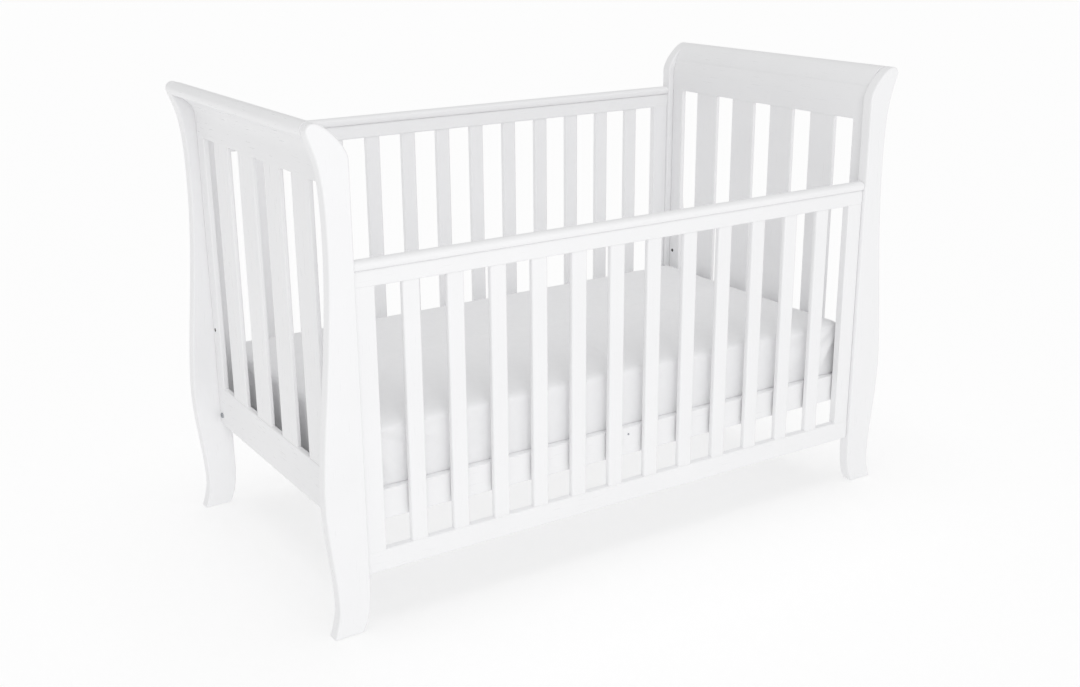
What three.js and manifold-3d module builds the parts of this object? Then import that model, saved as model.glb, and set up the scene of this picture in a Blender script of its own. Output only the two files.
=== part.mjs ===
// Baby crib with sleigh-shaped ends, a fixed back side and a front side that drops.
//
// Millimetres, +Z up. X runs along the crib's length, -Y is the front with the drop side, and the
// origin is on the floor under the middle of the crib. The drop side is modelled lowered, on its
// stops. Pieces that touch keep a small joint gap, so that each one is a separate solid.

import * as THREE from "three";
import { mergeVertices } from "three/addons/utils/BufferGeometryUtils.js";
import Module from "manifold-3d";

const wasm = await Module();
wasm.setup();

// ---- Driving dimensions ----

const JOINT_GAP = 0.3;          // left between any two pieces that touch
const CRIB_WIDTH = 762;         // over the faces of the posts

// Posts: flat boards sawn to an S shape, seen from the front
const POST_THICKNESS = 28.5;
const POST_INNER_X = 646;       // straight edge that faces the side panels
const POST_EDGE = 3;            // rounding of the long edges
const FOOT = { inner: 667, outer: 727, innerZ: 90 };
const ANKLE = { x: 713.5, z: 62 };
const BULGE = { x: 731, z: 288 };
const WAIST = { x: 696.5, z: 790 };
const SCROLL = { x: 710.6, z: 991, radius: 15, startZ: 935 };

// Bezier handles of the S: how far below and above each of its turns they stand
const HANDLES = { ankle: [20, 68], bulge: [73, 127], waist: [200, 150] };
const TOE_HANDLE = { x: 720, z: 22 };
const NECK_HANDLE = { x: 714, z: 950 };
const POST_NOSE = { x: 725.3, z: 988, angle: -0.2 };     // where the S runs into the nose
const SHOULDER = { x: 690, z: 962 };                     // handles from the top to the inner edge
const HEEL = { x: 654, lowZ: 16, highZ: 50 };            // handles from the inner edge to the sole

// Side panels: twelve slats between two rails, a stile at each end and a moulded cap on top
const PANEL_THICKNESS = 19;
const PANEL_HALF_LENGTH = 643;
const STILE_WIDTH = 39;
const SLATS_PER_SIDE = 12;
const SIDE_SLAT = { width: 37, thickness: 14 };
const BOTTOM_RAIL_HEIGHT = 46;
const SIDE_OPENING_HEIGHT = 535;
const TOP_RAIL_HEIGHT = 33;
const CAP = { height: 19, sideHeight: 9, overhang: 5 };
const EDGE_RADIUS = 3;          // on rails, stiles and slats

const FRONT_FACE_Y = -372;      // front of the drop side's frame
const BACK_FACE_Y = 360;        // inner face of the fixed back side's frame
const LOWERED_Z = 116;          // underside of the drop side on its stops
const DROP = 144;               // travel from lowered to raised, the fixed side's height

// Drop side's guides: a peg and a spring catch in each end run in grooves in the front posts
const GUIDE = { pegRadius: 4, grooveWidth: 9.6, grooveDepth: 11, reach: 9.5, end: 9.5 };
const PEG_Z = 590;
const CATCH = { radius: 4, length: 45, boreRadius: 4.4, boreDepth: 48, z: 139 };

// End panels: four wide slats in a thin frame, set between the posts
const END_INNER_X = 660.5;
const END_THICKNESS = 12.5;
const END_STILE_WIDTH = 40;
const END_SLATS = 4;
const END_SLAT = { width: 81, thickness: 9.5 };
const END_BOTTOM = { low: 206, high: 302 };
const END_TOP_Z = 886;          // underside of the scrolled top rail

// Section of the scrolled top rail: a cove outside, and a shoulder with a crease inside
const COVE = { startZ: 918, bendZ: 952, handle: { x: 684, z: 966 } };
const RAIL_NOSE = { x: 720.2, z: 979.5, angle: -0.87 };
const CREASE = { x: 668.5, z: 962 };
const CREASE_HANDLES = { above: { x: 675, z: 990 }, below: { x: 665, z: 948 } };
const INNER_BEND = { z: 938, endZ: 925 };

// Base and mattress
const BASE_RAIL = { thickness: 19, low: 215, high: 278, outerY: 349 };
const BOARD_THICKNESS = 12.7;
const MATTRESS = { length: 1308, width: 690, height: 130, cornerRadius: 50, edgeRadius: 14 };

// ---- Materials ----

const paint = { color: 0xf4f4f2, roughness: 0.42, metalness: 0 };
const mattressCover = { color: 0xf1f1ee, roughness: 0.9, metalness: 0 };
const steel = { color: 0xb9bcc0, roughness: 0.35, metalness: 1 };

// ---- Geometry helpers ----

const ALONG_X = new THREE.Matrix4().set(0, 0, 1, 0, 1, 0, 0, 0, 0, 1, 0, 0, 0, 0, 0, 1);
const ALONG_Y = new THREE.Matrix4().makeRotationX(Math.PI / 2);

/** Rectangle with rounded corners, from its lowest corner (a0, b0) to its highest (a1, b1). */
function roundedRectangle(a0, b0, a1, b1, radius) {
  const shape = new THREE.Shape();
  shape.absarc(a1 - radius, b0 + radius, radius, -Math.PI / 2, 0);
  shape.absarc(a1 - radius, b1 - radius, radius, 0, Math.PI / 2);
  shape.absarc(a0 + radius, b1 - radius, radius, Math.PI / 2, Math.PI);
  shape.absarc(a0 + radius, b0 + radius, radius, Math.PI, Math.PI * 1.5);
  shape.closePath();
  return shape;
}

function straightExtrusion(shape, depth, curveSegments = 3) {
  return new THREE.ExtrudeGeometry(shape, { depth, curveSegments, bevelEnabled: false });
}

/** Member whose section is drawn in Y and Z, running along X from x0 to x1. */
function alongX(section, x0, x1, curveSegments) {
  const geometry = straightExtrusion(section, x1 - x0, curveSegments);
  return geometry.applyMatrix4(ALONG_X).translate(x0, 0, 0);
}

/** Member whose section is drawn in X and Z, running along Y from y0 to y1. */
function alongY(section, y0, y1, curveSegments) {
  const geometry = straightExtrusion(section, y1 - y0, curveSegments);
  return geometry.applyMatrix4(ALONG_Y).translate(0, y1, 0);
}

/** Member whose section is drawn in X and Y, running along Z from z0 to z1. */
function alongZ(section, z0, z1) {
  return straightExtrusion(section, z1 - z0).translate(0, 0, z0);
}

function toSolid(geometry) {
  const bare = new THREE.BufferGeometry();
  bare.setAttribute("position", geometry.getAttribute("position"));
  if (geometry.index) bare.setIndex(geometry.index);
  const merged = mergeVertices(bare, 1e-4);
  return new wasm.Manifold(new wasm.Mesh({
    numProp: 3,
    vertProperties: Float32Array.from(merged.getAttribute("position").array),
    triVerts: Uint32Array.from(merged.index.array),
  }));
}

function toGeometry(solid) {
  const mesh = solid.getMesh();
  const geometry = new THREE.BufferGeometry();
  geometry.setAttribute("position", new THREE.BufferAttribute(mesh.vertProperties, 3));
  geometry.setIndex(new THREE.BufferAttribute(mesh.triVerts, 1));
  geometry.computeVertexNormals();
  return geometry;
}

/** Round bar along X with its axis at (y, z). */
function barAlongX(radius, x0, x1, y, z) {
  const bar = new THREE.CylinderGeometry(radius, radius, Math.abs(x1 - x0), 20);
  return bar.rotateZ(Math.PI / 2).translate((x0 + x1) / 2, y, z);
}

/** Box between two corners, given in any order. */
function boxBetween(a, b) {
  const box = new THREE.BoxGeometry(...a.map((value, axis) => Math.abs(b[axis] - value)));
  return box.translate(...a.map((value, axis) => (value + b[axis]) / 2));
}

const crib = new THREE.Group();

function addPiece(name, geometry, finish) {
  const mesh = new THREE.Mesh(geometry, new THREE.MeshStandardMaterial(finish));
  mesh.name = name;
  crib.add(mesh);
}

/** Centres of equal slats that share an opening about zero, and so have equal gaps. */
function slatCentres(opening, width, count) {
  const gap = (opening - width * count) / (count + 1);
  return Array.from({ length: count }, (_, i) => -opening / 2 + gap + width / 2 + i * (width + gap));
}

const twoDigits = (index) => String(index + 1).padStart(2, "0");
const ENDS = [["left", -1], ["right", 1]];
const SIDES = [["front", -1], ["back", 1]];

// ---- Posts ----

/** Both scrolls share this nose: from below the tip, over it, to the very top. */
function addNose(shape, side, fromAngle) {
  const [start, end] = side > 0 ? [fromAngle, Math.PI / 2] : [Math.PI - fromAngle, Math.PI / 2];
  shape.absarc(side * SCROLL.x, SCROLL.z, SCROLL.radius, start, end, side < 0);
}

function postOutline(side) {
  const top = SCROLL.z + SCROLL.radius;
  const curve = (...points) => shape.bezierCurveTo(...points.map((v, i) => (i % 2 ? v : side * v)));
  const shape = new THREE.Shape();
  shape.moveTo(side * FOOT.inner, 0);
  shape.lineTo(side * FOOT.outer, 0);
  const [ankleLow, ankleHigh] = HANDLES.ankle;
  const [bulgeLow, bulgeHigh] = HANDLES.bulge;
  const [waistLow, waistHigh] = HANDLES.waist;
  curve(TOE_HANDLE.x, TOE_HANDLE.z, ANKLE.x, ANKLE.z - ankleLow, ANKLE.x, ANKLE.z);
  curve(ANKLE.x, ANKLE.z + ankleHigh, BULGE.x, BULGE.z - bulgeLow, BULGE.x, BULGE.z);
  curve(BULGE.x, BULGE.z + bulgeHigh, WAIST.x, WAIST.z - waistLow, WAIST.x, WAIST.z);
  curve(WAIST.x, WAIST.z + waistHigh, NECK_HANDLE.x, NECK_HANDLE.z, POST_NOSE.x, POST_NOSE.z);
  addNose(shape, side, POST_NOSE.angle);
  curve(SHOULDER.x, top, POST_INNER_X, SHOULDER.z, POST_INNER_X, SCROLL.startZ);
  shape.lineTo(side * POST_INNER_X, FOOT.innerZ);
  curve(POST_INNER_X, HEEL.highZ, HEEL.x, HEEL.lowZ, FOOT.inner, 0);
  return shape;
}

function postGeometry(side, y0) {
  const geometry = new THREE.ExtrudeGeometry(postOutline(side), {
    depth: POST_THICKNESS - 2 * POST_EDGE,
    curveSegments: 9,
    bevelThickness: POST_EDGE,
    bevelSize: POST_EDGE,
    bevelOffset: -POST_EDGE,
    bevelSegments: 2,
  });
  return geometry.applyMatrix4(ALONG_Y).translate(0, y0 + POST_THICKNESS - POST_EDGE, 0);
}

const panelMiddleY = (faceY) => faceY + PANEL_THICKNESS / 2;

/** Groove in a front post's inner edge for a peg that starts at height z. */
function grooveCutter(side, z) {
  const y = panelMiddleY(FRONT_FACE_Y);
  const half = GUIDE.grooveWidth / 2;
  return boxBetween(
    [side * (POST_INNER_X - 1), y - half, z - GUIDE.end],
    [side * (POST_INNER_X + GUIDE.grooveDepth), y + half, z + DROP + GUIDE.end],
  );
}

function addPosts() {
  for (const [endName, side] of ENDS) {
    const front = toSolid(postGeometry(side, -CRIB_WIDTH / 2))
      .subtract(toSolid(grooveCutter(side, CATCH.z)))
      .subtract(toSolid(grooveCutter(side, PEG_Z)));
    addPiece(`post_front_${endName}`, toGeometry(front), paint);
    const back = postGeometry(side, CRIB_WIDTH / 2 - POST_THICKNESS);
    addPiece(`post_back_${endName}`, back, paint);
  }
}

// ---- Side panels ----

function railSection(faceY, low, high) {
  return roundedRectangle(faceY, low, faceY + PANEL_THICKNESS, high, EDGE_RADIUS);
}

/** Cap: upright sides under a low elliptical crown. */
function capSection(faceY, low) {
  const middle = panelMiddleY(faceY);
  const half = PANEL_THICKNESS / 2 + CAP.overhang;
  const shape = new THREE.Shape();
  shape.moveTo(middle - half, low);
  shape.lineTo(middle + half, low);
  shape.absellipse(middle, low + CAP.sideHeight, half, CAP.height - CAP.sideHeight, 0, Math.PI);
  shape.closePath();
  return shape;
}

function bottomRail(faceY, bottomZ, withCatches) {
  const section = railSection(faceY, bottomZ, bottomZ + BOTTOM_RAIL_HEIGHT);
  const rail = alongX(section, -PANEL_HALF_LENGTH, PANEL_HALF_LENGTH);
  if (!withCatches) return rail;
  let solid = toSolid(rail);
  for (const [, side] of ENDS) {
    const outer = side * (PANEL_HALF_LENGTH + 1);
    const inner = side * (PANEL_HALF_LENGTH - CATCH.boreDepth);
    const bore = barAlongX(CATCH.boreRadius, outer, inner, panelMiddleY(faceY), CATCH.z);
    solid = solid.subtract(toSolid(bore));
  }
  return toGeometry(solid);
}

/** Stile at one end of a panel. The drop side's stiles carry a turned guide peg. */
function stile(faceY, low, high, side, withPeg) {
  const [x0, x1] = [PANEL_HALF_LENGTH - STILE_WIDTH, PANEL_HALF_LENGTH]
    .map((x) => side * x).sort((a, b) => a - b);
  const section = roundedRectangle(x0, faceY, x1, faceY + PANEL_THICKNESS, EDGE_RADIUS);
  const board = alongZ(section, low, high);
  if (!withPeg) return board;
  const root = side * (PANEL_HALF_LENGTH - STILE_WIDTH / 2);
  const tip = side * (PANEL_HALF_LENGTH + GUIDE.reach);
  const peg = barAlongX(GUIDE.pegRadius, root, tip, panelMiddleY(faceY), PEG_Z);
  return toGeometry(toSolid(board).add(toSolid(peg)));
}

function addSidePanel(name, faceY, bottomZ, isDropSide) {
  const openingLow = bottomZ + BOTTOM_RAIL_HEIGHT;
  const openingHigh = openingLow + SIDE_OPENING_HEIGHT;
  const railTop = openingHigh + TOP_RAIL_HEIGHT;
  const [low, high] = [openingLow + JOINT_GAP, openingHigh - JOINT_GAP];
  const half = PANEL_HALF_LENGTH;
  const topRail = alongX(railSection(faceY, openingHigh, railTop), -half, half);
  const cap = alongX(capSection(faceY, railTop + JOINT_GAP), -half, half, 9);
  addPiece(`${name}_bottom_rail`, bottomRail(faceY, bottomZ, isDropSide), paint);
  addPiece(`${name}_top_rail`, topRail, paint);
  addPiece(`${name}_cap`, cap, paint);
  for (const [endName, side] of ENDS) {
    addPiece(`${name}_stile_${endName}`, stile(faceY, low, high, side, isDropSide), paint);
  }
  const slatFace = panelMiddleY(faceY) - SIDE_SLAT.thickness / 2;
  const opening = 2 * (PANEL_HALF_LENGTH - STILE_WIDTH);
  slatCentres(opening, SIDE_SLAT.width, SLATS_PER_SIDE).forEach((x, index) => {
    const [x0, x1] = [x - SIDE_SLAT.width / 2, x + SIDE_SLAT.width / 2];
    const section = roundedRectangle(x0, slatFace, x1, slatFace + SIDE_SLAT.thickness, EDGE_RADIUS);
    addPiece(`${name}_slat_${twoDigits(index)}`, alongZ(section, low, high), paint);
  });
}

/** Spring-loaded catch in one end of the drop side's bottom rail. */
function addCatches() {
  for (const [endName, side] of ENDS) {
    const tip = side * (PANEL_HALF_LENGTH + GUIDE.reach);
    const root = tip - side * CATCH.length;
    const pin = barAlongX(CATCH.radius, root, tip, panelMiddleY(FRONT_FACE_Y), CATCH.z);
    addPiece(`catch_${endName}`, pin, steel);
  }
}

// ---- End panels ----

/** Scrolled top rail: an upright board that curls outwards into the posts' nose. */
function scrollSection(side) {
  const top = SCROLL.z + SCROLL.radius;
  const inner = END_INNER_X;
  const outer = END_INNER_X + END_THICKNESS;
  const curve = (...points) => shape.bezierCurveTo(...points.map((v, i) => (i % 2 ? v : side * v)));
  const shape = new THREE.Shape();
  shape.moveTo(side * inner, END_TOP_Z);
  shape.lineTo(side * outer, END_TOP_Z);
  const { above, below } = CREASE_HANDLES;
  shape.lineTo(side * outer, COVE.startZ);
  curve(outer, COVE.bendZ, COVE.handle.x, COVE.handle.z, RAIL_NOSE.x, RAIL_NOSE.z);
  addNose(shape, side, RAIL_NOSE.angle);
  curve(SHOULDER.x, top, above.x, above.z, CREASE.x, CREASE.z);
  curve(below.x, below.z, inner, INNER_BEND.z, inner, INNER_BEND.endZ);
  shape.closePath();
  return shape;
}

function addEndPanels() {
  const reach = CRIB_WIDTH / 2 - POST_THICKNESS - JOINT_GAP;
  for (const [endName, side] of ENDS) {
    const [frame0, frame1] = [side * END_INNER_X, side * (END_INNER_X + END_THICKNESS)]
      .sort((a, b) => a - b);
    const [low, high] = [END_BOTTOM.high + JOINT_GAP, END_TOP_Z - JOINT_GAP];
    const railSide = roundedRectangle(frame0, END_BOTTOM.low, frame1, END_BOTTOM.high, EDGE_RADIUS);
    addPiece(`end_${endName}_bottom_rail`, alongY(railSide, -reach, reach), paint);
    addPiece(`end_${endName}_top_rail`, alongY(scrollSection(side), -reach, reach, 8), paint);
    for (const [sideName, facing] of SIDES) {
      const [y0, y1] = [facing * reach, facing * (reach - END_STILE_WIDTH)].sort((a, b) => a - b);
      const section = roundedRectangle(frame0, y0, frame1, y1, EDGE_RADIUS);
      addPiece(`end_${endName}_stile_${sideName}`, alongZ(section, low, high), paint);
    }
    const middle = (frame0 + frame1) / 2;
    const half = END_SLAT.thickness / 2;
    const opening = 2 * (reach - END_STILE_WIDTH);
    slatCentres(opening, END_SLAT.width, END_SLATS).forEach((y, index) => {
      const [y0, y1] = [y - END_SLAT.width / 2, y + END_SLAT.width / 2];
      const section = roundedRectangle(middle - half, y0, middle + half, y1, EDGE_RADIUS);
      addPiece(`end_${endName}_slat_${index + 1}`, alongZ(section, low, high), paint);
    });
  }
}

// ---- Base and mattress ----

function addBase() {
  const reach = END_INNER_X - JOINT_GAP;
  const { thickness, low, high, outerY } = BASE_RAIL;
  for (const [name, facing] of SIDES) {
    const [y0, y1] = [facing * outerY, facing * (outerY - thickness)].sort((a, b) => a - b);
    const section = roundedRectangle(y0, low, y1, high, EDGE_RADIUS);
    addPiece(`base_rail_${name}`, alongX(section, -reach, reach), paint);
  }
  const boardReach = outerY - thickness - JOINT_GAP;
  const board = boxBetween(
    [-reach, -boardReach, high - BOARD_THICKNESS], [reach, boardReach, high]);
  addPiece("base_board", board, paint);
}

function addMattress() {
  const { length, width, height, cornerRadius, edgeRadius } = MATTRESS;
  const plan = roundedRectangle(-length / 2, -width / 2, length / 2, width / 2, cornerRadius);
  const geometry = new THREE.ExtrudeGeometry(plan, {
    depth: height - 2 * edgeRadius,
    curveSegments: 5,
    bevelThickness: edgeRadius,
    bevelSize: edgeRadius,
    bevelOffset: -edgeRadius,
    bevelSegments: 2,
  });
  const bottom = BASE_RAIL.high + JOINT_GAP;
  addPiece("mattress", geometry.translate(0, 0, bottom + edgeRadius), mattressCover);
}

addPosts();
addEndPanels();
addSidePanel("back", BACK_FACE_Y, LOWERED_Z + DROP, false);
addSidePanel("drop", FRONT_FACE_Y, LOWERED_Z, true);
addCatches();
addBase();
addMattress();

export default crib;
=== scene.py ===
"""Visual model of a white baby crib with sleigh-shaped ends, a drop side and a mattress.

Every wooden piece is worked out with numpy as a profile carried along a path, with eased
edges, and stands for the CAD node of the same place. The mattress is inflated by a cloth
simulation. Lengths are in metres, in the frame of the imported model: X along the crib, -Y the
front with the drop side, +Z up, the origin on the floor under the middle.
"""
import logging
import math
from dataclasses import dataclass, field
from enum import Enum
from typing import Any, Iterable, Sequence

import bpy
import numpy as np
from mathutils import Matrix, Vector


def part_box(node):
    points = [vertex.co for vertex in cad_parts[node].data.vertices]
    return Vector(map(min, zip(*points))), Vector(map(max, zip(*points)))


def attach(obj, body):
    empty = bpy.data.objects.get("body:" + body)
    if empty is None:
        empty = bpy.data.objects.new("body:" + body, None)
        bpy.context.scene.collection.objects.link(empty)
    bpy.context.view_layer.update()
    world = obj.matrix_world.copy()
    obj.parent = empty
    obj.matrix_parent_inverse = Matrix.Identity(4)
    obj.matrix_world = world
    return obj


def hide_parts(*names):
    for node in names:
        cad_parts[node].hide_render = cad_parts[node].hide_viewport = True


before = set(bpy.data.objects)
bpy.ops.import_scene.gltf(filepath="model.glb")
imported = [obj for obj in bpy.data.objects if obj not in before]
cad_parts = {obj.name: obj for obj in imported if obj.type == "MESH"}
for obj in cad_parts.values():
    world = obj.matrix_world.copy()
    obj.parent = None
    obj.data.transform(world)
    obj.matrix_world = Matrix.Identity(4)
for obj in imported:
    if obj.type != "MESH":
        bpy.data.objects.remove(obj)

LOG = logging.getLogger("crib")
MM = 0.001
QUARTER = math.pi / 2
CREASE_ANGLE = math.radians(35)
CUT_EDGE = 0.6 * MM
WAVE_LENGTH = 0.314  # A wave texture of scale 1 repeats at 2 pi / 20 metres


class Body(str, Enum):
    """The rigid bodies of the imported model."""

    FRAME = "frame"
    DROP_SIDE = "drop_side"
    BASE = "base"
    MATTRESS = "mattress"


class Slot(str, Enum):
    """The record's material slots."""

    LACQUER = "white_lacquer"
    COVER = "mattress_cover"
    STEEL = "steel"


class Axis(int, Enum):
    """The axis that a board's grain and length run along."""

    X = 0
    Y = 1
    Z = 2


ENDS = {"left": -1, "right": 1}
FACINGS = {"front": -1, "back": 1}


# ---- Surfaces ----

@dataclass(frozen=True)
class Surface:
    """A mesh before it becomes an object.

    Attributes:
        points: One row of x, y, z for each vertex.
        faces: Vertex numbers of each face, counter-clockwise from outside.
    """

    points: np.ndarray
    faces: list[tuple[int, ...]]

    def outward(self) -> "Surface":
        """Returns the surface with its faces turned outwards.

        The sign of the enclosed volume, a sum of triple products over fans of triangles,
        says whether the faces look out or in.
        """
        volume = 0.0
        for size in {len(face) for face in self.faces}:
            corners = self.points[np.array([f for f in self.faces if len(f) == size])]
            first, second, third = corners[:, :1], corners[:, 1:-1], corners[:, 2:]
            volume += float(np.sum(np.cross(second, third) * first))
        if volume >= 0:
            return self
        return Surface(self.points, [face[::-1] for face in self.faces])


def quads(rings: int, around: int) -> list[tuple[int, ...]]:
    """Numbers the faces between rings of points.

    Args:
        rings: How many rings there are.
        around: How many points a ring has.

    Returns:
        Four vertex numbers for each face.
    """
    ring = np.arange(rings - 1)[:, None]
    step = np.arange(around)[None, :]
    here, there = ring * around, (ring + 1) * around
    after = (step + 1) % around
    faces = np.stack([here + step, here + after, there + after, there + step], axis=-1)
    return [tuple(face) for face in faces.reshape(-1, 4).tolist()]


def skin(rings: np.ndarray) -> Surface:
    """Covers a row of rings and closes both ends with a flat face.

    Args:
        rings: Array of ring, point and coordinate.

    Returns:
        A closed surface.
    """
    count, around = rings.shape[:2]
    last = (count - 1) * around
    ends = [tuple(range(around))[::-1], tuple(range(last, last + around))]
    return Surface(rings.reshape(-1, 3), quads(count, around) + ends).outward()


def in_frame(flat: np.ndarray, along: np.ndarray, axis: Axis) -> np.ndarray:
    """Stands flat outlines up in the frame.

    Args:
        flat: Outline points, as ring, point and two coordinates, the lower axis first.
        along: Position of each ring on the axis.
        axis: The axis that the outlines are carried along.

    Returns:
        The rings, as ring, point and x, y, z.
    """
    third = np.broadcast_to(along[:, None], flat.shape[:2])
    return np.insert(flat, int(axis), third, axis=2)


def easing(start: float, stop: float, radius: float, steps: int = 4) -> np.ndarray:
    """Stations that round both ends of a straight run.

    A quarter circle turns the inset into length: at angle t the ring lies radius (1 - sin t)
    from the end and is drawn in by radius (1 - cos t). One more ring on each flat keeps the
    flat's shading flat.

    Args:
        start: Where the run starts.
        stop: Where it stops.
        radius: Radius of the eased edge.
        steps: Faces in each quarter circle.

    Returns:
        Rows of position and inset.
    """
    angle = np.linspace(QUARTER, 0, steps + 1)
    place = np.concatenate([[0.0], radius * (1 - np.sin(angle)), [radius * 1.5]])
    inset = np.concatenate([[radius * 1.5], radius * (1 - np.cos(angle)), [0.0]])
    near = np.stack([start + place, inset], axis=1)
    far = np.stack([stop - place, inset], axis=1)[::-1]
    return np.concatenate([near, far])


def rounded_rectangle(width: np.ndarray, height: np.ndarray, radius: np.ndarray,
                      steps: int = 4) -> np.ndarray:
    """Rectangles about zero whose corners are quarter circles.

    Args:
        width: Full width of each rectangle.
        height: Full height of each rectangle.
        radius: Corner radius of each rectangle.
        steps: Faces in each quarter circle.

    Returns:
        Array of rectangle, point and two coordinates, counter-clockwise, with a point on each
        flat beside every corner.
    """
    corner = np.arange(4)[:, None] * QUARTER
    angle = corner + np.linspace(0, QUARTER, steps + 1)[None, :]
    circle = np.stack([np.cos(angle), np.sin(angle)], axis=-1)
    sign = np.sign(np.cos(corner + QUARTER / 2)), np.sign(np.sin(corner + QUARTER / 2))
    half = np.stack([width / 2 - radius, height / 2 - radius], axis=-1)
    centre = half[:, None, None, :] * np.stack(sign, axis=-1)[None]
    arcs = centre + radius[:, None, None, None] * circle[None]
    tangent = np.stack([-np.sin(angle), np.cos(angle)], axis=-1)[None]
    reach = radius[:, None, None, None] * 0.5
    before = arcs[:, :, :1] - tangent[:, :, :1] * reach
    after = arcs[:, :, -1:] + tangent[:, :, -1:] * reach
    return np.concatenate([before, arcs, after], axis=2).reshape(len(width), -1, 2)


def eased_board(low: Vector, high: Vector, axis: Axis, edge: float, end: float) -> Surface:
    """A board with rounded long edges and eased ends.

    Args:
        low: Lowest corner.
        high: Highest corner.
        axis: The way that it is long.
        edge: Radius of the long edges.
        end: Radius round the two ends.

    Returns:
        A closed surface that fills the box from low to high.
    """
    across = [i for i in range(3) if i != axis]
    size = np.array(high) - np.array(low)
    middle = (np.array(high) + np.array(low)) / 2
    along, inset = easing(low[axis], high[axis], end).T
    radius = np.maximum(edge - inset, edge * 0.15)
    width, height = (size[i] - 2 * inset for i in across)
    flat = rounded_rectangle(width, height, radius) + middle[across]
    return skin(in_frame(flat, along, axis))


def drawn_in(outline: np.ndarray, inset: np.ndarray) -> np.ndarray:
    """Moves a closed outline inwards along its normals.

    The normal at a point is its neighbours' chord turned a quarter turn. The largest circle
    that touches the outline at a point from inside, and holds no other of its points, has the
    radius r = d.d / (2 n.d), the least over the steps d to the others. A point moves in by
    r (1 - exp(-inset / r)), which tends to that circle's middle and never passes it, so that
    the copies don't cross themselves at corners.

    Args:
        outline: Rows of two coordinates, counter-clockwise.
        inset: How far in, once for each copy.

    Returns:
        Array of copy, point and two coordinates.
    """
    chord = np.roll(outline, -1, axis=0) - np.roll(outline, 1, axis=0)
    chord /= np.linalg.norm(chord, axis=1, keepdims=True)
    inward = np.stack([-chord[:, 1], chord[:, 0]], axis=1)
    step = outline[None] - outline[:, None]
    ahead = 2 * np.einsum("ijk,ik->ij", step, inward)
    room = np.where(ahead > 1e-9, (step ** 2).sum(2) / np.maximum(ahead, 1e-9), np.inf)
    room = np.clip(room.min(axis=1), 0.2 * MM, 1.0)
    depth = room[None] * (1 - np.exp(-inset[:, None] / room[None]))
    return outline[None] + inward[None] * depth[:, :, None]


def sawn_board(outline: np.ndarray, axis: Axis, start: float, stop: float,
               edge: float) -> Surface:
    """A board sawn to an outline, with its edges eased.

    Args:
        outline: Rows of two coordinates, counter-clockwise.
        axis: The way through the board.
        start: Where the board starts on that axis.
        stop: Where it stops.
        edge: Radius of the eased edges.

    Returns:
        A closed surface.
    """
    along, inset = easing(start, stop, edge).T
    return skin(in_frame(drawn_in(outline, inset), along, axis))


def bezier(points: Sequence[tuple[float, float]], steps: int) -> np.ndarray:
    """Points on a cubic curve, its last one left to the next curve.

    Each point is a mix of the four control points, weighed by the terms of
    (1 - t + t) cubed.
    """
    t = np.linspace(0, 1, steps, endpoint=False)[:, None]
    a, b, c, d = (np.array(point, float) for point in points)
    return (1 - t) ** 3 * a + 3 * (1 - t) ** 2 * t * b + 3 * (1 - t) * t ** 2 * c + t ** 3 * d


def arc(centre: tuple[float, float], radius: float, start: float, stop: float,
        steps: int) -> np.ndarray:
    """Points on a circle from one angle to another, its last one left to the next curve."""
    angle = np.linspace(start, stop, steps, endpoint=False)
    return np.array(centre) + radius * np.stack([np.cos(angle), np.sin(angle)], axis=1)


def turned(profile: np.ndarray, centre: Vector, pointing: Vector, around: int = 36) -> Surface:
    """A piece turned on a lathe, parts of which may be hexagonal.

    Args:
        profile: Rows of radius, height and hexagon share. The radius at an angle is the
            circle's, mixed by the share with that of a hexagon of the same width over flats.
        centre: Where the profile's height zero lies.
        pointing: The way that the height runs.
        around: Points round it.

    Returns:
        A closed surface.
    """
    angle = np.linspace(0, 2 * math.pi, around, endpoint=False)
    sector = np.mod(angle, math.pi / 3) - math.pi / 6
    radius, height, share = (column[:, None] for column in profile.T)
    reach = radius * (1 - share + share / np.cos(sector)[None])
    rings = np.stack([reach * np.cos(angle), reach * np.sin(angle),
                      np.broadcast_to(height, reach.shape)], axis=-1)
    turn = np.array(pointing.to_track_quat("Z", "Y").to_matrix())
    return skin(rings @ turn.T + np.array(centre))


# ---- Finishes ----

def linear(colour: str) -> tuple[float, float, float, float]:
    """Turns an sRGB hex colour such as #EDEBE6 into the linear values that nodes take."""
    values = [int(colour[i:i + 2], 16) / 255 for i in (1, 3, 5)]
    return *(v / 12.92 if v <= 0.04045 else ((v + 0.055) / 1.055) ** 2.4 for v in values), 1.0


def add_node(tree: bpy.types.NodeTree, kind: str, settings: dict[str, Any] | None = None,
             **inputs: Any) -> bpy.types.Node:
    """Adds a node with its settings and links.

    Args:
        tree: The node tree.
        kind: The node's type.
        settings: Properties to set on it.
        **inputs: A value, or a socket to link from, for each input. An underscore stands for
            a space in its name, and a number after "at_" for its place.

    Returns:
        The new node.
    """
    node = tree.nodes.new(kind)
    for name, value in (settings or {}).items():
        setattr(node, name, value)
    for name, value in inputs.items():
        key = int(name[3:]) if name.startswith("at_") else name.replace("_", " ")
        if isinstance(value, bpy.types.NodeSocket):
            tree.links.new(value, node.inputs[key])
        else:
            node.inputs[key].default_value = value
    return node


@dataclass(frozen=True)
class Finish:
    """What every finish shares: a name, and a tree with coordinates and a shader."""

    name: str

    def start(self) -> tuple[bpy.types.Material, bpy.types.NodeTree, bpy.types.NodeSocket]:
        """Makes an empty material and gives its tree and its Object coordinates."""
        material = bpy.data.materials.new(self.name)
        material.use_nodes = True
        material.node_tree.nodes.clear()
        place = add_node(material.node_tree, "ShaderNodeTexCoord").outputs["Object"]
        return material, material.node_tree, place

    def dress(self, piece: bpy.types.Object) -> None:
        """Puts the finish on a piece, and makes the material the first time."""
        piece.data.materials.clear()
        piece.data.materials.append(bpy.data.materials.get(self.name) or self.make())

    def make(self) -> bpy.types.Material:
        """Makes the material."""
        raise NotImplementedError


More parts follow.
